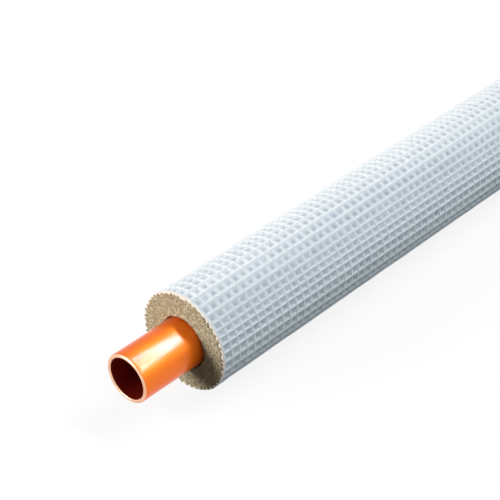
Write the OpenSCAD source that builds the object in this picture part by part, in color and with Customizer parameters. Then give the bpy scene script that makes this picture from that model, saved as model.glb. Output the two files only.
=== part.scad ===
// A cut length of insulated copper tube: a bare copper tube in a foam sleeve with a film jacket.
// It lies along X on the surface z = 0, centred on the origin, with its bared end at -X.
// The other end is cut off square, with all three pieces flush. All sizes are in millimetres.

/* [Copper tube] */
// Length of the copper tube, which is the length of the whole piece
tube_length = 1000; // [200:10:3000]
// Outside diameter of the copper tube
tube_diameter = 12.7; // [6:0.01:28]
// Wall of the copper tube
tube_wall = 1; // [0.6:0.1:2]
// Radius that the tube cutter rolls onto the outer edge of each end
outer_edge_radius = 0.5; // [0.1:0.05:1]
// Radius that the reamer leaves on the inner edge of each end
inner_edge_radius = 0.3; // [0.1:0.05:1]

/* [Insulation] */
// Length of copper left bare in front of the insulation
bare_length = 18; // [5:1:100]
// Wall of the foam sleeve
foam_wall = 6; // [3:0.1:25]
// Room between the copper tube and the bore of the sleeve, all round
slip_clearance = 0.4; // [0.1:0.05:1.5]
// Thickness of the film jacket bonded to the sleeve
film_thickness = 0.25; // [0.1:0.05:1]

/* [Hidden] */
$fn = 96;

// The share of the wall that a rounded edge may take up, so that the end keeps a flat land
edge_share = 0.55;
// How far a cut runs past the solid that it cuts
overcut = 1;

tube_radius = tube_diameter / 2;
tube_bore_radius = tube_radius - tube_wall;
outer_edge = min(outer_edge_radius, edge_share * tube_wall);
inner_edge = min(inner_edge_radius, (1 - edge_share) * tube_wall * 0.9);

foam_bore_radius = tube_radius + slip_clearance;
foam_radius = foam_bore_radius + foam_wall;
jacket_radius = foam_radius + film_thickness;

insulation_length = tube_length - bare_length;
insulation_start = bare_length - tube_length / 2;
tube_start = -tube_length / 2;

// Lays a shape that stands on the origin along X, at the height of the common axis
module lay_along_x(start) {
    translate([start, 0, jacket_radius])
        rotate([0, 90, 0])
            children();
}

// A square-ended pipe that stands on the origin
module pipe(outer_radius, bore_radius, length) {
    difference() {
        cylinder(r = outer_radius, h = length);
        translate([0, 0, -overcut])
            cylinder(r = bore_radius, h = length + 2 * overcut);
    }
}

// The waste outside a rounded corner, for a corner at the origin of the first quadrant
module corner_waste(radius) {
    difference() {
        translate([-overcut, -overcut])
            square(radius + overcut);
        translate([radius, radius])
            circle(radius);
    }
}

// Half section of the copper tube's wall, from its axis outwards, with both ends rounded
module tube_section() {
    difference() {
        translate([tube_bore_radius, 0])
            square([tube_wall, tube_length]);
        for (end = [0, 1])
            translate([0, end * tube_length])
                mirror([0, end]) {
                    translate([tube_bore_radius, 0])
                        corner_waste(inner_edge);
                    translate([tube_radius, 0])
                        mirror([1, 0])
                            corner_waste(outer_edge);
                }
    }
}

// The drawn copper tube, one piece from end to end
module copper_tube() {
    color("#D8753A")
        lay_along_x(tube_start)
            rotate_extrude()
                tube_section();
}

// The closed-cell foam sleeve that is slipped over the tube
module foam_sleeve() {
    color("#A3967C")
        lay_along_x(insulation_start)
            pipe(foam_radius, foam_bore_radius, insulation_length);
}

// The white film jacket bonded to the outside of the sleeve
module film_jacket() {
    color("#E6ECEF")
        lay_along_x(insulation_start)
            pipe(jacket_radius, foam_radius, insulation_length);
}

copper_tube();
foam_sleeve();
film_jacket();
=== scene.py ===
"""A cut length of insulated copper tube on a white floor: copper, foam sleeve and embossed film jacket."""

import math

import bmesh
import bpy
from mathutils import Matrix, Vector, noise


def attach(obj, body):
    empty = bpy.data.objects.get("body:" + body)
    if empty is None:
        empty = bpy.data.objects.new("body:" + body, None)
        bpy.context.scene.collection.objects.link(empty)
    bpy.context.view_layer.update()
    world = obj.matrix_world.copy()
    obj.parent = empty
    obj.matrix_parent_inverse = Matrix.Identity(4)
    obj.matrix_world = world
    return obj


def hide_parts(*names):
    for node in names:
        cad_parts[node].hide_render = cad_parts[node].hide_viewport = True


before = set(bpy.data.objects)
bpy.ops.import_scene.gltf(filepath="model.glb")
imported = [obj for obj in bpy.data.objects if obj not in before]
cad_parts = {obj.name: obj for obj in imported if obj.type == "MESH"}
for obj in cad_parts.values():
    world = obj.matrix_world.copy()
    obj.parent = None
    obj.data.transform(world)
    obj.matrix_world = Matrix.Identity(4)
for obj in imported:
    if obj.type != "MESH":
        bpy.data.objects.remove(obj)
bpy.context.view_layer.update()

MM = 0.001

# Sizes are in millimetres. The tube lies along X, and its axis is one jacket radius above the floor.
TUBE_START, TUBE_END = -500.0, 500.0
TUBE_RADIUS = 6.35
TUBE_BORE = 5.35
OUTER_EDGE = 0.5
INNER_EDGE = 0.3
# A loop this far from each end keeps the long walls straight in the light.
END_LOOP = 0.8
SLEEVE_START = -482.0
SLEEVE_BORE = 6.75
JACKET_RADIUS = 13.0
FILM = 0.25

# The embossing roll prints rows of square pits. A line runs along between two rows, and a lower bar
# crosses between two pits of a row.
PITS_ROUND = 36
PITS_ALONG = 394
# The sloping rim of a pit is this share of the pitch wide.
PIT_RIM = 0.26
PIT_RIM_DROP = 0.24
PIT_DEPTH = 0.5
CROSS_BAR_DROP = 0.14
FILM_INSIDE = JACKET_RADIUS - PIT_DEPTH - FILM
# The film hangs this far under its nominal radius, so that its loosest folds stay within it.
FILM_SLACK = 0.12
# How far the middles of the pits stand up on average, where the foam pushes back.
PIT_RISE = 0.054
# The rows drift to and fro by this angle in radians, so many times round the sleeve, from a start angle.
ROW_DRIFT = 0.055
ROW_WAVES = 4
ROW_START = math.radians(103)

# The knife leaves the film a little shorter than the foam, whose torn edge covers part of it. The hem is
# the plain strip of film beyond the last row of pits.
FOAM_BACK = 0.1
FILM_BACK = 0.35
HEM = 0.45
HEM_VARIES = 0.18
FILM_START, FILM_END = SLEEVE_START + FILM_BACK + HEM, TUBE_END - FILM_BACK - HEM
PITCH = (FILM_END - FILM_START) / PITS_ALONG
# The foam's torn edge lies this far under the film's lines, and stands out in teeth.
EDGE_UNDER = 0.6
FOAM_EDGE = JACKET_RADIUS - EDGE_UNDER
FOAM_TEETH = 50
TOOTH_HEIGHT = 0.9
# The foam swells from its torn edge to its full size over this length, and keeps this far off the film.
FOAM_TAPER = 1.2
FOAM_GAP = 0.05

# How finely the turned pieces are cut.
TUBE_STEPS = 128
EDGE_STEPS = 6
FOAM_STEPS = 400
FOAM_RINGS = 24
# Two places closer than this are the same place.
NEAR = 1e-3

AXIS = Vector((1, 0, 0))
ON_AXIS = Vector((0, 0, 0))


# Shared helpers


def linear(code):
    """The linear colour of an sRGB hex code."""
    parts = [int(code[i : i + 2], 16) / 255 for i in (1, 3, 5)]
    return tuple(p / 12.92 if p <= 0.04045 else ((p + 0.055) / 1.055) ** 2.4 for p in parts) + (1.0,)


def add(tree, kind, settings=None, links=None):
    """Adds a node. A setting is one of its properties or the value of an input; a link feeds an input."""
    node = tree.nodes.new(kind)
    for name, value in (settings or {}).items():
        if isinstance(name, str) and hasattr(node, name):
            setattr(node, name, value)
        else:
            node.inputs[name].default_value = value
    for name, source in (links or {}).items():
        tree.links.new(source, node.inputs[name])
    return node


def new_material(name):
    """An empty node material, with its output node."""
    material = bpy.data.materials.new(name)
    material.use_nodes = True
    material.node_tree.nodes.clear()
    return material, material.node_tree, material.node_tree.nodes.new("ShaderNodeOutputMaterial")


def scale_for(width):
    """The scale of a pattern in metres whose features are this many millimetres wide."""
    return 1000 / width


def seen_directly(tree):
    """1 where the camera sees a surface straight, in a reflection or through something, and 0 where the
    surface only lights another."""
    path = add(tree, "ShaderNodeLightPath")
    bare = add(
        tree,
        "ShaderNodeMath",
        {"operation": "MAXIMUM"},
        {0: path.outputs["Is Camera Ray"], 1: path.outputs["Is Glossy Ray"]},
    )
    either = add(
        tree,
        "ShaderNodeMath",
        {"operation": "MAXIMUM"},
        {0: bare.outputs[0], 1: path.outputs["Is Transmission Ray"]},
    )
    first = add(
        tree,
        "ShaderNodeMath",
        {"operation": "LESS_THAN", 1: 0.5},
        {0: path.outputs["Diffuse Depth"]},
    )
    both = add(
        tree,
        "ShaderNodeMath",
        {"operation": "MULTIPLY"},
        {0: either.outputs[0], 1: first.outputs[0]},
    )
    return both.outputs[0]


def radius_of(point):
    """Distance from the tube's axis, while a piece is still modelled about the X axis."""
    return math.hypot(point.y, point.z)


def set_radius(vert, radius):
    """Moves a vertex straight out from the axis, to that radius."""
    now = radius_of(vert.co)
    vert.co.y *= radius / now
    vert.co.z *= radius / now


def bumps(spot, height, per_mm):
    """Uneven relief, up or down by that height at most, with about so many bumps to a millimetre."""
    return height * noise.noise(spot * per_mm)


def finish_piece(shape, name, materials, node, smooth=True):
    """Lifts a shape to the axis height, turns it to metres and puts it in the scene for its CAD node. Where
    smooth is off, only the faces that the shape already marks as smooth are shaded round."""
    bmesh.ops.translate(shape, verts=shape.verts, vec=(0, 0, JACKET_RADIUS))
    bmesh.ops.scale(shape, verts=shape.verts, vec=(MM, MM, MM))
    for face in shape.faces:
        face.smooth = face.smooth or smooth
    mesh = bpy.data.meshes.new(name)
    shape.to_mesh(mesh)
    shape.free()
    for material in materials:
        mesh.materials.append(material)
    piece = bpy.data.objects.new(name, mesh)
    bpy.context.scene.collection.objects.link(piece)
    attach(piece, "root")
    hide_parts(node)
    return piece


# Materials


def drawn_copper():
    """Soft copper drawn through a die: bright and orange, with faint lines along the tube and a handled,
    uneven polish. A thin clear film of drawing oil gives it a whitish shine over the orange one."""
    material, tree, output = new_material("bright drawn copper")
    place = add(tree, "ShaderNodeTexCoord")
    streaks = add(
        tree,
        "ShaderNodeMapping",
        {"Scale": (0.03, 1, 1)},
        {"Vector": place.outputs["Object"]},
    )
    lines = add(
        tree,
        "ShaderNodeTexNoise",
        {"Scale": scale_for(0.5), "Detail": 3},
        {"Vector": streaks.outputs[0]},
    )
    smears = add(
        tree,
        "ShaderNodeTexNoise",
        {"Scale": scale_for(9), "Detail": 1},
        {"Vector": place.outputs["Object"]},
    )
    colour = add(
        tree,
        "ShaderNodeMix",
        {"data_type": "RGBA", 6: linear("#F37C16"), 7: linear("#EE7210")},
        {0: smears.outputs["Fac"]},
    )
    polish = add(
        tree,
        "ShaderNodeMapRange",
        {"From Min": 0.3, "From Max": 0.7, "To Min": 0.45, "To Max": 0.55},
        {"Value": smears.outputs["Fac"]},
    )
    relief = add(
        tree,
        "ShaderNodeBump",
        {"Strength": 0.15, "Distance": 0.02 * MM},
        {"Height": lines.outputs["Fac"]},
    )
    shader = add(
        tree,
        "ShaderNodeBsdfPrincipled",
        {
            "Metallic": 1.0,
            "Specular Tint": linear("#FFA468"),
            "Coat Weight": 1.0,
            "Coat Roughness": 0.15,
            "Coat IOR": 1.32,
        },
        {"Base Color": colour.outputs[2], "Roughness": polish.outputs[0], "Normal": relief.outputs[0]},
    )
    tree.links.new(shader.outputs[0], output.inputs["Surface"])
    return material


def cut_copper():
    """The end of the tube, where the cutter and the reamer leave fresh metal: pale pink, with fine
    marks. The pale pink is partly the fresh metal and partly a painted reflection of the white room on the
    lip."""
    material, tree, output = new_material("freshly cut copper")
    place = add(tree, "ShaderNodeTexCoord")
    marks = add(
        tree,
        "ShaderNodeTexNoise",
        {"Scale": scale_for(0.7), "Detail": 3},
        {"Vector": place.outputs["Object"]},
    )
    # Partly painted reflection: the lip is coloured paler than the drawn copper.
    colour = add(
        tree,
        "ShaderNodeMix",
        {"data_type": "RGBA", 6: linear("#E8A982"), 7: linear("#F4CCAE")},
        {0: marks.outputs["Fac"]},
    )
    polish = add(
        tree,
        "ShaderNodeMapRange",
        {"To Min": 0.25, "To Max": 0.45},
        {"Value": marks.outputs["Fac"]},
    )
    shader = add(
        tree,
        "ShaderNodeBsdfPrincipled",
        {"Metallic": 1.0},
        {"Base Color": colour.outputs[2], "Roughness": polish.outputs[0]},
    )
    tree.links.new(shader.outputs[0], output.inputs["Surface"])
    return material


def bore_in_painted_shade():
    """The inside of the tube: a deep red-brown, painted dark as painted shade in the bore, with a
    blotchy tone, that gives back little light."""
    material, tree, output = new_material("copper bore in painted shade")
    place = add(tree, "ShaderNodeTexCoord")
    mottle = add(
        tree,
        "ShaderNodeTexNoise",
        {"Scale": scale_for(3), "Detail": 3},
        {"Vector": place.outputs["Object"]},
    )
    # Painted shade: the bore is coloured a deep red-brown, blotched at random.
    colour = add(
        tree,
        "ShaderNodeMix",
        {"data_type": "RGBA", 6: linear("#86170B"), 7: linear("#A52010")},
        {0: mottle.outputs["Fac"]},
    )
    shader = add(
        tree,
        "ShaderNodeBsdfPrincipled",
        {"Metallic": 0.6, "Roughness": 0.5},
        {"Base Color": colour.outputs[2]},
    )
    tree.links.new(shader.outputs[0], output.inputs["Surface"])
    return material


def cut_foam():
    """Closed-cell polyethylene foam, sawn through: dull beige, with open cells half a millimetre wide.
    Its colour is darker in the cells' hollows as painted shade, and its tone varies at random.
    """
    material, tree, output = new_material("cut polyethylene foam")
    place = add(tree, "ShaderNodeTexCoord")
    cells = add(
        tree,
        "ShaderNodeTexVoronoi",
        {"Scale": scale_for(0.55), "feature": "F1"},
        {"Vector": place.outputs["Object"]},
    )
    grit = add(
        tree,
        "ShaderNodeTexNoise",
        {"Scale": scale_for(0.4), "Detail": 3},
        {"Vector": place.outputs["Object"]},
    )
    blend = add(
        tree,
        "ShaderNodeMath",
        {"operation": "MULTIPLY"},
        {0: cells.outputs["Distance"], 1: grit.outputs["Fac"]},
    )
    shade = add(
        tree,
        "ShaderNodeMapRange",
        {"From Min": 0.08, "From Max": 0.4},
        {"Value": blend.outputs[0]},
    )
    # Painted shade: darker in the cells' hollows, while the grit varies the tone at random.
    colour = add(
        tree,
        "ShaderNodeMix",
        {"data_type": "RGBA", 6: linear("#86785C"), 7: linear("#C8BB9B")},
        {0: shade.outputs[0]},
    )
    relief = add(
        tree,
        "ShaderNodeBump",
        {"Strength": 0.7, "Distance": 0.3 * MM},
        {"Height": blend.outputs[0]},
    )
    shader = add(
        tree,
        "ShaderNodeBsdfPrincipled",
        {"Roughness": 0.9, "Specular IOR Level": 0.2},
        {"Base Color": colour.outputs[2], "Normal": relief.outputs[0]},
    )
    tree.links.new(shader.outputs[0], output.inputs["Surface"])
    return material


def embossed_film():
    """Blown polyethylene film, embossed on a hot roll: cool white and satin. Its colour is painted greyer
    towards the bottom of each pit, as painted shade in the hollows."""
    shade_full, shade_gone = JACKET_RADIUS - 0.62, JACKET_RADIUS - 0.28
    material, tree, output = new_material("embossed polyethylene film")
    place = add(tree, "ShaderNodeTexCoord")
    across = add(
        tree,
        "ShaderNodeMapping",
        {"Location": (0, 0, -JACKET_RADIUS * MM), "Scale": (0, 1, 1)},
        {"Vector": place.outputs["Object"]},
    )
    height = add(tree, "ShaderNodeVectorMath", {"operation": "LENGTH"}, {0: across.outputs[0]})
    pit_shade = add(
        # Painted shade: the film is coloured greyer the deeper it lies in a pit.
        tree,
        "ShaderNodeMapRange",
        {"From Min": shade_full * MM, "From Max": shade_gone * MM},
        {"Value": height.outputs["Value"]},
    )
    colour = add(
        tree,
        "ShaderNodeMix",
        {"data_type": "RGBA", 6: linear("#ABBBC3"), 7: linear("#E7EEF2")},
        {0: pit_shade.outputs[0]},
    )
    haze = add(
        tree,
        "ShaderNodeTexNoise",
        {"Scale": scale_for(0.8), "Detail": 2},
        {"Vector": place.outputs["Object"]},
    )
    relief = add(
        tree,
        "ShaderNodeBump",
        {"Strength": 0.2, "Distance": 0.05 * MM},
        {"Height": haze.outputs["Fac"]},
    )
    shader = add(
        tree,
        "ShaderNodeBsdfPrincipled",
        {"Roughness": 0.65, "IOR": 1.51},
        {"Base Color": colour.outputs[2], "Normal": relief.outputs[0]},
    )
    tree.links.new(shader.outputs[0], output.inputs["Surface"])
    return material


def cut_film_edge():
    """The knife-cut edge of the film, where it is milky and catches the light: its cream colour, brighter
    than the film's, is partly a painted highlight.
    """
    material, tree, output = new_material("cut film edge")
    place = add(tree, "ShaderNodeTexCoord")
    nicks = add(
        tree,
        "ShaderNodeTexNoise",
        {"Scale": scale_for(0.6)},
        {"Vector": place.outputs["Object"]},
    )
    # Partly painted highlight: the cut edge is coloured brighter and warmer than the film.
    colour = add(
        tree,
        "ShaderNodeMix",
        {"data_type": "RGBA", 6: linear("#F2E2CC"), 7: linear("#FFF6EA")},
        {0: nicks.outputs["Fac"]},
    )
    shader = add(
        tree,
        "ShaderNodeBsdfPrincipled",
        {"Roughness": 0.5, "IOR": 1.51},
        {"Base Color": colour.outputs[2]},
    )
    tree.links.new(shader.outputs[0], output.inputs["Surface"])
    return material


def white_floor():
    """White paper. It is bright in the picture and in the metal, but throws only grey light on the tube. It
    is plain white away from the tube, and a little darker round it, where it takes the shadow."""
    round_tube, far_off = 0.7, 1.8
    material, tree, output = new_material("white paper floor")
    seen = seen_directly(tree)
    colour = add(
        tree,
        "ShaderNodeMix",
        {"data_type": "RGBA", 6: linear("#6A6A6A"), 7: linear("#6E6E6E")},
        {0: seen},
    )
    paper = add(tree, "ShaderNodeBsdfDiffuse", {}, {"Color": colour.outputs[2]})
    glow = add(tree, "ShaderNodeEmission", {"Color": (1, 1, 1, 1)})
    place = add(tree, "ShaderNodeTexCoord")
    away = add(tree, "ShaderNodeVectorMath", {"operation": "LENGTH"}, {0: place.outputs["Object"]})
    backdrop = add(
        tree,
        "ShaderNodeMapRange",
        {"From Min": round_tube, "From Max": far_off, "To Min": 0.86, "To Max": 1.0},
        {"Value": away.outputs["Value"]},
    )
    lift = add(tree, "ShaderNodeMath", {"operation": "MULTIPLY"}, {0: seen, 1: backdrop.outputs[0]})
    tree.links.new(lift.outputs[0], glow.inputs["Strength"])
    both = add(tree, "ShaderNodeAddShader", {}, {0: paper.outputs[0], 1: glow.outputs[0]})
    tree.links.new(both.outputs[0], output.inputs["Surface"])
    return material


# Pieces


def make_copper_tube():
    """Spins the wall's section about the axis, then rolls the edges of both ends round."""
    shape = bmesh.new()
    corners = [
        shape.verts.new((x, 0, r))
        for x, r in (
            (TUBE_START, TUBE_BORE),
            (TUBE_START, TUBE_RADIUS),
            (TUBE_START + END_LOOP, TUBE_RADIUS),
            (TUBE_END - END_LOOP, TUBE_RADIUS),
            (TUBE_END, TUBE_RADIUS),
            (TUBE_END, TUBE_BORE),
            (TUBE_END - END_LOOP, TUBE_BORE),
            (TUBE_START + END_LOOP, TUBE_BORE),
        )
    ]
    section = [shape.edges.new(pair) for pair in zip(corners, corners[1:] + corners[:1])]
    bmesh.ops.spin(
        shape,
        geom=corners + section,
        cent=ON_AXIS,
        axis=AXIS,
        angle=math.tau,
        steps=TUBE_STEPS,
        use_merge=True,
    )
    bmesh.ops.recalc_face_normals(shape, faces=shape.faces)
    for radius, edge in ((TUBE_RADIUS, OUTER_EDGE), (TUBE_BORE, INNER_EDGE)):
        on_rim = {
            v
            for v in shape.verts
            if abs(v.co.x) > TUBE_END - NEAR and abs(radius_of(v.co) - radius) < NEAR
        }
        rims = [e for e in shape.edges if on_rim.issuperset(e.verts)]
        bmesh.ops.bevel(
            shape,
            geom=rims,
            offset=edge,
            offset_type="OFFSET",
            affect="EDGES",
            segments=EDGE_STEPS,
            profile=0.5,
            material=-1,
        )
    finishes = [drawn_copper(), bore_in_painted_shade(), cut_copper()]
    inside, cut = 1, 2
    for face in shape.faces:
        if all(radius_of(v.co) < TUBE_BORE + NEAR for v in face.verts):
            face.material_index = inside
        elif all(abs(v.co.x) > TUBE_END - INNER_EDGE - NEAR for v in face.verts):
            face.material_index = cut
    return finish_piece(shape, "copper_tube_drawn", finishes, "copper_tube")


def stretch_round(vert):
    """Turns a vertex about the axis a little. The film was drawn unevenly round the sleeve, so its rows lie
    close together in some places and wide apart in others."""
    angle = math.atan2(vert.co.z, vert.co.y)
    radius = radius_of(vert.co)
    angle += ROW_DRIFT * math.sin(ROW_WAVES * (angle - ROW_START))
    vert.co.y, vert.co.z = radius * math.cos(angle), radius * math.sin(angle)


def tooth(angle, spot):
    """How far the torn edge of the foam stands out: fine teeth of uneven height."""
    across = (angle / math.tau * FOAM_TEETH + bumps(spot, height=0.5, per_mm=0.4)) % 1.0
    height = TOOTH_HEIGHT + bumps(spot, height=0.4, per_mm=0.5)
    return height * (abs(across - 0.5) * 2 - 0.5) + bumps(spot, height=0.08, per_mm=2.1)


def make_foam_sleeve():
    """Spins the sleeve's section, then breaks up its two sawn ends cell by cell."""
    shape = bmesh.new()
    body = FILM_INSIDE - FOAM_GAP
    corners = [
        shape.verts.new((x, 0, r))
        for x, r in (
            (SLEEVE_START, SLEEVE_BORE),
            (SLEEVE_START, FOAM_EDGE),
            (SLEEVE_START + FOAM_TAPER, body),
            (TUBE_END - FOAM_TAPER, body),
            (TUBE_END, FOAM_EDGE),
            (TUBE_END, SLEEVE_BORE),
        )
    ]
    section = [shape.edges.new(pair) for pair in zip(corners, corners[1:] + corners[:1])]
    near_end, far_end = section[0], section[4]
    bmesh.ops.subdivide_edges(shape, edges=[near_end, far_end], cuts=FOAM_RINGS)
    bmesh.ops.spin(
        shape,
        geom=shape.verts[:] + shape.edges[:],
        cent=ON_AXIS,
        axis=AXIS,
        angle=math.tau,
        steps=FOAM_STEPS,
        use_merge=True,
    )
    bmesh.ops.recalc_face_normals(shape, faces=shape.faces)
    for vert in shape.verts:
        if SLEEVE_START + NEAR < vert.co.x < TUBE_END - NEAR:
            continue
        spot = vert.co.copy()
        radius = radius_of(spot)
        share = (radius - SLEEVE_BORE) / (FOAM_EDGE - SLEEVE_BORE)
        inner = SLEEVE_BORE + bumps(spot, height=0.15, per_mm=0.5) + bumps(spot, height=0.1, per_mm=1.7)
        outer = FOAM_EDGE + tooth(math.atan2(spot.z, spot.y), spot)
        set_radius(vert, inner + (outer - inner) * share)
        grain = bumps(spot, height=0.12, per_mm=2.2) + bumps(spot, height=0.08, per_mm=4.5)
        wave = bumps(spot, height=0.06, per_mm=0.15)
        inward = 1.0 if spot.x < 0 else -1.0
        vert.co.x += inward * max(0.0, FOAM_BACK + grain + wave)
    return finish_piece(shape, "foam_sleeve_cut", [cut_foam()], "foam_sleeve")


def faces_inward(face):
    """Whether a face of the film looks at the axis."""
    middle = face.calc_center_median()
    return face.normal.dot(Vector((0, middle.y, middle.z))) < 0


def make_film_jacket():
    """Draws a ring out into rows of square cells, presses a pit into each, and folds both ends in."""
    shape = bmesh.new()
    ring = bmesh.ops.create_circle(
        shape,
        segments=PITS_ROUND,
        radius=JACKET_RADIUS,
        matrix=Matrix.Translation((FILM_START, 0, 0)) @ Matrix.Rotation(math.pi / 2, 4, "Y"),
    )
    bmesh.ops.spin(
        shape,
        geom=ring["verts"] + shape.edges[:],
        cent=ON_AXIS,
        axis=AXIS,
        angle=0,
        dvec=AXIS * PITCH,
        steps=PITS_ALONG,
    )
    bmesh.ops.recalc_face_normals(shape, faces=shape.faces)
    if any(faces_inward(face) for face in shape.faces):
        bmesh.ops.reverse_faces(shape, faces=shape.faces)
    cross_bars = [e for e in shape.edges if abs(e.verts[0].co.x - e.verts[1].co.x) < NEAR]
    cells = shape.faces[:]
    bmesh.ops.inset_individual(
        shape,
        faces=cells,
        thickness=PIT_RIM * PITCH,
        depth=-PIT_RIM_DROP,
        use_even_offset=True,
    )
    pits = bmesh.ops.poke(shape, faces=cells, offset=PIT_RIM_DROP - PIT_DEPTH, center_mode="MEAN")
    # The pits are soft hollows, and the lines between them keep their crisp edges.
    for face in pits["faces"]:
        face.smooth = True
    for vert in pits["verts"]:
        set_radius(vert, radius_of(vert.co) + bumps(vert.co, height=0.18, per_mm=1.3) + PIT_RISE)
        vert.co.x += bumps(vert.co, height=0.15, per_mm=1.7)
    middles = bmesh.ops.subdivide_edges(shape, edges=cross_bars, cuts=1)
    for vert in {v for v in middles["geom_inner"] if isinstance(v, bmesh.types.BMVert)}:
        set_radius(vert, JACKET_RADIUS - CROSS_BAR_DROP)
    for vert in shape.verts:
        spot = vert.co
        # The creases are drawn out along the tube.
        creases = Vector((spot.x * 0.02, spot.y * 0.25, spot.z * 0.25))
        dents = bumps(spot, height=0.05, per_mm=0.35) + bumps(spot, height=0.05, per_mm=1.1)
        folds = bumps(creases, height=0.1, per_mm=1)
        set_radius(vert, radius_of(spot) + dents + folds - FILM_SLACK)
        stretch_round(vert)
    finishes = [embossed_film(), cut_film_edge()]
    cut = 1
    hems = bmesh.ops.extrude_edge_only(shape, edges=[e for e in shape.edges if e.is_boundary])["geom"]
    for item in hems:
        if isinstance(item, bmesh.types.BMVert):
            outward = -1.0 if item.co.x < 0 else 1.0
            item.co.x += outward * (HEM + bumps(item.co, height=HEM_VARIES, per_mm=0.4))
        elif isinstance(item, bmesh.types.BMFace):
            item.material_index = cut
    ends = bmesh.ops.extrude_edge_only(shape, edges=[e for e in shape.edges if e.is_boundary])["geom"]
    for item in ends:
        if isinstance(item, bmesh.types.BMVert):
            set_radius(item, FILM_INSIDE)
        elif isinstance(item, bmesh.types.BMFace):
            item.material_index = cut
    inner_loops = [e for e in ends if isinstance(e, bmesh.types.BMEdge) and e.is_boundary]
    bmesh.ops.bridge_loops(shape, edges=inner_loops)
    bmesh.ops.recalc_face_normals(shape, faces=shape.faces)
    return finish_piece(shape, "film_jacket_embossed", finishes, "film_jacket", smooth=False)


make_copper_tube()
foam = make_foam_sleeve()
make_film_jacket()


# Floor, light and camera

# The lens's focal length, in pixels of a picture this wide, and the sensor's width in millimetres.
FOCAL = 1652.0
PICTURE = 500
SENSOR = 36
# Distances on the floor and to the lamps are in metres.
FLOOR_HALF = 8
# A place on the hidden half of the tube, in millimetres.
FAR_HALF = 400.0
# How wide the narrow lamps throw their light, in degrees.
FAR_SPREAD = 70
SHINE_SPREAD = 104


def make_floor():
    """A wide sheet of white paper under the tube."""
    shape = bmesh.new()
    bmesh.ops.create_grid(shape, x_segments=1, y_segments=1, size=FLOOR_HALF)
    mesh = bpy.data.meshes.new("floor")
    shape.to_mesh(mesh)
    shape.free()
    mesh.materials.append(white_floor())
    floor = bpy.data.objects.new("floor", mesh)
    bpy.context.scene.collection.objects.link(floor)


def make_softbox(name, aim, towards, distance, size, power, colour="#FFFFFF"):
    """An area light that faces the tube at the place aim along it, from that direction. Its first side lies
    along the tube, as far as it can, and its second side across it."""
    light = bpy.data.lights.new(name, "AREA")
    light.shape = "RECTANGLE"
    light.size, light.size_y = size
    light.energy = power
    light.color = linear(colour)[:3]
    lamp = bpy.data.objects.new(name, light)
    bpy.context.scene.collection.objects.link(lamp)
    spot = Vector((aim, 0, JACKET_RADIUS)) * MM
    back = Vector(towards).normalized()
    across = back.cross(AXIS).normalized()
    turn = Matrix((across.cross(back), across, back)).transposed().to_4x4()
    lamp.matrix_world = Matrix.Translation(spot + back * distance) @ turn
    return lamp


def make_camera():
    """The photograph's view: a long lens, from the front left and above. The middle of the sleeve's face
    and the way along the tube are given as the camera has them: right, down and ahead."""
    face_centre = Vector((-1.2, 1.64, 29.43)) * JACKET_RADIUS
    along = Vector((0.681, -0.432, 0.591)).normalized()
    tilt = math.atan2(-along.y, along.z)
    heading = math.atan2(along.x, along.z / math.cos(tilt))
    level = Vector((math.cos(heading), math.sin(heading), 0))
    ahead = level * math.cos(tilt) - Vector((0, 0, math.sin(tilt)))
    right = Vector((math.sin(heading), -math.cos(heading), 0))
    up = right.cross(ahead)
    aim = Vector((SLEEVE_START, 0, JACKET_RADIUS))
    place = aim - right * face_centre.x + up * face_centre.y - ahead * face_centre.z
    data = bpy.data.cameras.new("camera")
    data.sensor_width = SENSOR
    data.sensor_fit = "HORIZONTAL"
    data.lens = FOCAL / PICTURE * SENSOR
    camera = bpy.data.objects.new("camera", data)
    bpy.context.scene.collection.objects.link(camera)
    turn = Matrix((right, up, -ahead)).transposed().to_4x4()
    camera.matrix_world = Matrix.Translation(place * MM) @ turn
    bpy.context.scene.camera = camera


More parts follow.
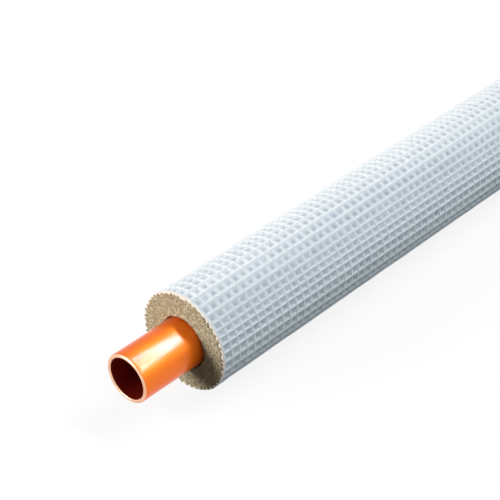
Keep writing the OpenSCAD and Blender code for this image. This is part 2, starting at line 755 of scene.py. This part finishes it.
def make_world():
    """Soft grey light, stronger from the far side of the tube. The metal sees a pale grey room, and the
    camera plain white."""
    far_side = (0.75, 0.5, 0.43)
    weak, strong, room = 0.12, 0.2, 0.87
    world = bpy.data.worlds.new("studio")
    world.use_nodes = True
    tree = world.node_tree
    tree.nodes.clear()
    output = tree.nodes.new("ShaderNodeOutputWorld")
    way = add(tree, "ShaderNodeTexCoord")
    side = add(
        tree,
        "ShaderNodeVectorMath",
        {"operation": "DOT_PRODUCT", 1: far_side},
        {0: way.outputs["Generated"]},
    )
    glow = add(
        tree,
        "ShaderNodeMapRange",
        {"From Min": -0.7, "To Min": weak, "To Max": strong},
        {"Value": side.outputs["Value"]},
    )
    shown = add(
        tree,
        "ShaderNodeMix",
        {"data_type": "FLOAT", 3: room},
        {0: seen_directly(tree), 2: glow.outputs[0]},
    )
    path = add(tree, "ShaderNodeLightPath")
    level = add(
        tree,
        "ShaderNodeMix",
        {"data_type": "FLOAT", 3: 1.0},
        {0: path.outputs["Is Camera Ray"], 2: shown.outputs[0]},
    )
    sky = add(tree, "ShaderNodeBackground", {"Color": (1, 1, 1, 1)}, {"Strength": level.outputs[0]})
    tree.links.new(sky.outputs[0], output.inputs["Surface"])
    bpy.context.scene.world = world


make_floor()
make_softbox("key_light", SLEEVE_START, (-0.87, 0.4, 0.26), 1.0, (0.35, 0.35), 10.0)
# These light the film and the foam. The metal doesn't show them, only the key light and the shine.
near_lamps = [
    make_softbox("top_light", SLEEVE_START, (0.45, -0.303, 0.84), 1.0, (0.2, 0.8), 5.7),
    make_softbox("rim_light", SLEEVE_START, (0.2, 0.87, 0.45), 1.0, (0.6, 0.6), 3.2, "#FFE6D2"),
    make_softbox("fill_light", SLEEVE_START, (0.3, -0.9, 0.3), 1.0, (0.6, 0.6), 1.15, "#C8F0FF"),
]
# These are aimed at the half that the photograph doesn't show, and a narrow spread keeps them there.
far_lamps = [
    make_softbox("far_left_light", FAR_HALF, (0, 0.6, 0.8), 0.7, (0.7, 0.5), 0.38),
    make_softbox("far_right_light", FAR_HALF, (0, -0.6, 0.8), 0.7, (0.7, 0.5), 0.38),
    make_softbox("far_end_light", TUBE_END, (0.8, -0.35, 0.5), 0.8, (0.4, 0.4), 0.55),
]
for lamp in near_lamps + far_lamps:
    lamp.visible_glossy = False
for lamp in far_lamps:
    lamp.data.spread = math.radians(FAR_SPREAD)
# A thin strip that only the shine of a surface shows: the long highlight on the copper.
shine = make_softbox(
    "shine_light", SLEEVE_START, (0.516, -0.262, 0.816), 0.4, (0.008, 0.95), 1.5, "#BCD2FF"
)
shine.visible_diffuse = False
shine.data.spread = math.radians(SHINE_SPREAD)
make_camera()
make_world()
bpy.context.scene.view_settings.view_transform = "Standard"
